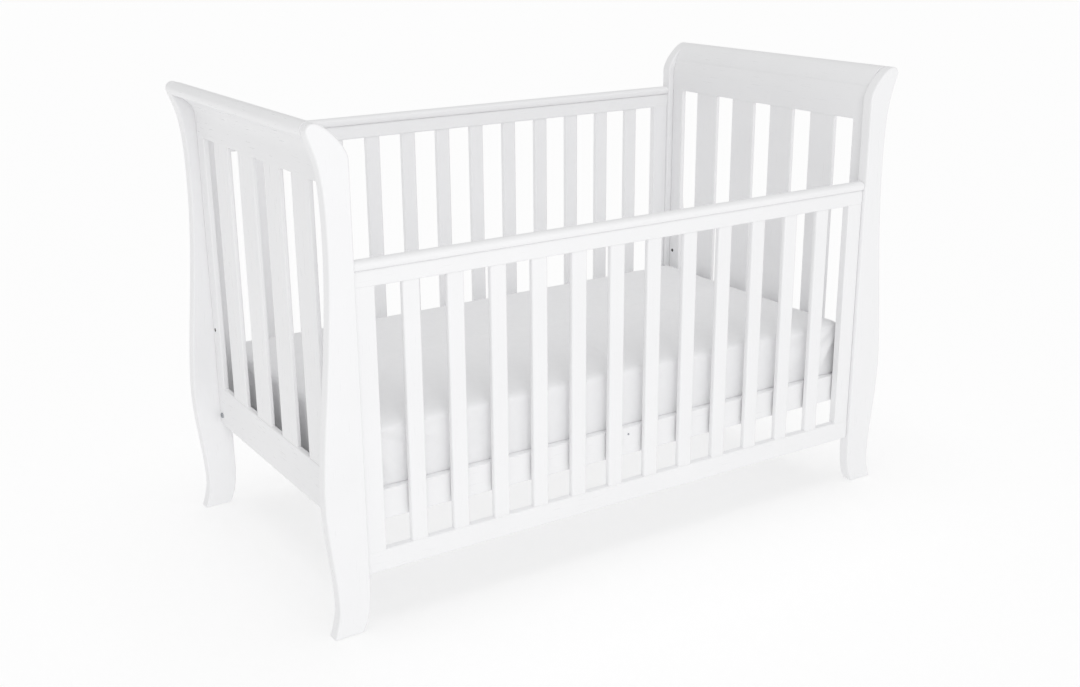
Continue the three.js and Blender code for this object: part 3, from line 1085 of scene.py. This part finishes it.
    def gather(self, points: np.ndarray) -> np.ndarray:
        """Adds the folds on the sides and the creases on the top, and sets it on the base.

        A crease runs across the mattress, as exp(-(t / w)^2) with t the distance from it, and
        waves a little along its length. The foot sinks by an amount that falls off evenly with
        height, and stops at the base.
        """
        d = self.high[2] - points[:, 2]
        span = self.high[2] - self.low[2]
        sides = np.clip((self.beyond(points) + self.side_start) / self.side_fade, 0, 1)
        band = np.sin(np.pi * np.clip(d / span, 0, 1)) ** self.side_swell
        away = points[:, :2] - self.middle
        core = (self.high - self.low)[:2] / 2 - self.corner
        out = away - np.clip(away, -core, core)
        out /= np.maximum(np.linalg.norm(out, axis=1, keepdims=True), 1e-9)
        points[:, :2] += out * (self.folds(points) * sides * band)[:, None]
        depth_fade, rim_fade = self.crease_fade
        top = np.clip(1 - d / depth_fade, 0, 1) * np.clip(-self.beyond(points) / rim_fade, 0, 1)
        swing, rate, shift = self.crease_wave
        for place in self.crease_lines:
            t = points[:, 0] - place + swing * np.sin(points[:, 1] * rate + shift * place)
            points[:, 2] += self.crease_depth * top * np.exp(-(t / self.crease_width) ** 2)
        swing, rate = self.long_wave
        t = points[:, 1] - self.long_crease + swing * np.sin(points[:, 0] * rate)
        points[:, 2] += self.crease_depth * top * np.exp(-(t / self.crease_width) ** 2)
        sunk = np.clip(1 - (points[:, 2] - self.low[2]) / self.settled_height, 0, 1)
        points[:, 2] = np.maximum(points[:, 2] - self.settling * sunk, self.low[2])
        return points

    def build(self) -> None:
        """Makes the mattress: a slab, evened out, inflated, smoothed and folded."""
        piece = new_object("mattress_cover", self.slab())
        remesh = piece.modifiers.new("even", "REMESH")
        remesh.mode, remesh.voxel_size, remesh.use_smooth_shade = "VOXEL", self.voxel, True
        bake(piece)
        self.inflate(piece)
        smooth = piece.modifiers.new("fine", "SUBSURF")
        smooth.levels = smooth.render_levels = 1
        bake(piece)
        write_points(piece.data, self.gather(read_points(piece.data)))
        fit(piece, COTTON, Body.MATTRESS, ["mattress"])


# ---- Studio ----

@dataclass
class Studio:
    """The camera, the pale floor and the soft light."""

    eye: tuple[float, float, float] = (-1.633, -2.525, 1.353)
    azimuth: float = 0.560
    elevation: float = 0.314
    roll: float = -0.011
    sensor: float = 36.0
    lens: float = 44.52
    shift: float = 0.0157
    sight: float = 200.0
    floor_reach: float = 60.0
    floor_glow: float = 0.52
    floor_shade: str = "#BCBCBC"
    floor_roughness: float = 0.9
    floor_gloss: float = 0.1
    sky: float = 0.62
    backdrop: float = 0.96
    overhead: float = 0.50
    overhead_place: tuple[float, float, float] = (-0.3, -1.2, 2.2)
    overhead_angle: float = math.radians(40)
    shadow_light: float = 0.90
    shadow_place: tuple[float, float, float] = (0.0, 0.0, 3.0)
    shadow_angle: float = math.radians(50)
    key_power: float = 28.0
    key_size: float = 2.0
    key_place: tuple[float, float, float] = (-1.6, -3.8, 2.2)
    key_aim: tuple[float, float, float] = (0.0, 0.0, 0.45)

    def camera(self) -> None:
        """Sets up the camera, turned from +Y towards +X and tilted down."""
        a, e, r = self.azimuth, self.elevation, self.roll
        forward = Vector((math.sin(a) * math.cos(e), math.cos(a) * math.cos(e), -math.sin(e)))
        level = Vector((math.cos(a), -math.sin(a), 0))
        upright = level.cross(forward)
        right = math.cos(r) * level + math.sin(r) * upright
        up = math.cos(r) * upright - math.sin(r) * level
        data = bpy.data.cameras.new("camera")
        data.lens, data.sensor_width, data.shift_x = self.lens, self.sensor, self.shift
        data.clip_end = self.sight
        camera = bpy.data.objects.new("camera", data)
        turn = Matrix((right, up, -forward)).transposed().to_4x4()
        camera.matrix_world = Matrix.Translation(self.eye) @ turn
        bpy.context.scene.collection.objects.link(camera)
        bpy.context.scene.camera = camera

    def floor(self) -> bpy.types.Object:
        """Lays a plain pale floor of white acrylic, lit from below so that shadows stay pale."""
        reach, z = self.floor_reach, -0.5 * MM
        corners = np.array([(-reach, -reach, z), (reach, -reach, z), (reach, reach, z),
                            (-reach, reach, z)])
        ground = new_object("floor", Surface(corners, [(0, 1, 2, 3)]))
        material = bpy.data.materials.new("backlit_acrylic_floor")
        material.use_nodes = True
        shader = material.node_tree.nodes["Principled BSDF"]
        shader.inputs["Base Color"].default_value = linear(self.floor_shade)
        shader.inputs["Roughness"].default_value = self.floor_roughness
        shader.inputs["Specular IOR Level"].default_value = self.floor_gloss
        shader.inputs["Emission Color"].default_value = (1, 1, 1, 1)
        shader.inputs["Emission Strength"].default_value = self.floor_glow
        ground.data.materials.append(material)
        return ground

    def hang(self, data: bpy.types.Light, place: Vector, toward: Vector) -> bpy.types.Object:
        """Hangs a lamp, turns it towards what it lights, and returns it."""
        lamp = bpy.data.objects.new(data.name, data)
        lamp.location = place
        lamp.visible_camera = False
        lamp.rotation_euler = (toward - place).to_track_quat("-Z", "Y").to_euler()
        bpy.context.scene.collection.objects.link(lamp)
        return lamp

    def flag(self, lamp: bpy.types.Object, ground: bpy.types.Object, state: str) -> None:
        """Keeps a lamp's light off the floor, as a flag on a stand does, or on it alone.

        Args:
            lamp: The lamp.
            ground: The floor.
            state: EXCLUDE to keep the light off the floor, INCLUDE to light nothing else.
        """
        lit = bpy.data.collections.new(f"{lamp.name}_floor")
        lit.objects.link(ground)
        lit.collection_objects[0].light_linking.link_state = state
        lamp.light_linking.receiver_collection = lit

    def lights(self, ground: bpy.types.Object) -> None:
        """Hangs a soft box in front, a wide light overhead and a white sky.

        The soft box and the overhead light leave the floor out. One more wide light, straight
        above, falls on the floor alone, where the crib casts its soft shadow.
        """
        middle = Vector((0, 0, 0))
        key = bpy.data.lights.new("soft_box", "AREA")
        key.shape, key.size, key.energy = "DISK", self.key_size, self.key_power
        lamp = self.hang(key, Vector(self.key_place), Vector(self.key_aim))
        self.flag(lamp, ground, "EXCLUDE")
        overhead = bpy.data.lights.new("overhead", "SUN")
        overhead.energy, overhead.angle = self.overhead, self.overhead_angle
        lamp = self.hang(overhead, Vector(self.overhead_place), middle)
        self.flag(lamp, ground, "EXCLUDE")
        shadow = bpy.data.lights.new("shadow_light", "SUN")
        shadow.energy, shadow.angle = self.shadow_light, self.shadow_angle
        lamp = self.hang(shadow, Vector(self.shadow_place), middle)
        self.flag(lamp, ground, "INCLUDE")
        bpy.context.scene.world = self.room()
        bpy.context.scene.view_settings.view_transform = "Standard"

    def room(self) -> bpy.types.World:
        """A white room, whose far wall looks about as bright as the floor.

        The sky lights the crib, and the wall is what the camera sees beyond the floor.
        """
        world = bpy.data.worlds.new("white_room")
        world.use_nodes = True
        tree = world.node_tree
        white = (1, 1, 1, 1)
        sky = add_node(tree, "ShaderNodeBackground", Color=white, Strength=self.sky)
        wall = add_node(tree, "ShaderNodeBackground", Color=white, Strength=self.backdrop)
        seen = add_node(tree, "ShaderNodeLightPath").outputs["Is Camera Ray"]
        mixed = add_node(tree, "ShaderNodeMixShader", at_0=seen, at_1=sky.outputs[0],
                         at_2=wall.outputs[0])
        out = tree.nodes["World Output"]
        tree.links.new(mixed.outputs[0], out.inputs["Surface"])
        tree.nodes.remove(tree.nodes["Background"])
        return world

    def build(self) -> None:
        """Builds the studio."""
        self.camera()
        self.lights(self.floor())


def main() -> None:
    logging.basicConfig(level=logging.INFO, format="%(message)s")
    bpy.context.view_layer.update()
    Studio().build()
    Posts().build()
    EndPanels().build()
    SidePanel("back", Body.FRAME, reach=3.2 * MM).build()
    SidePanel("drop", Body.DROP_SIDE, reach=2.5 * MM).build()
    Base().build()
    for end in ENDS:
        STEEL.dress(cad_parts[f"catch_{end}"])
    Mattress().build()


if __name__ == "__main__":
    main()
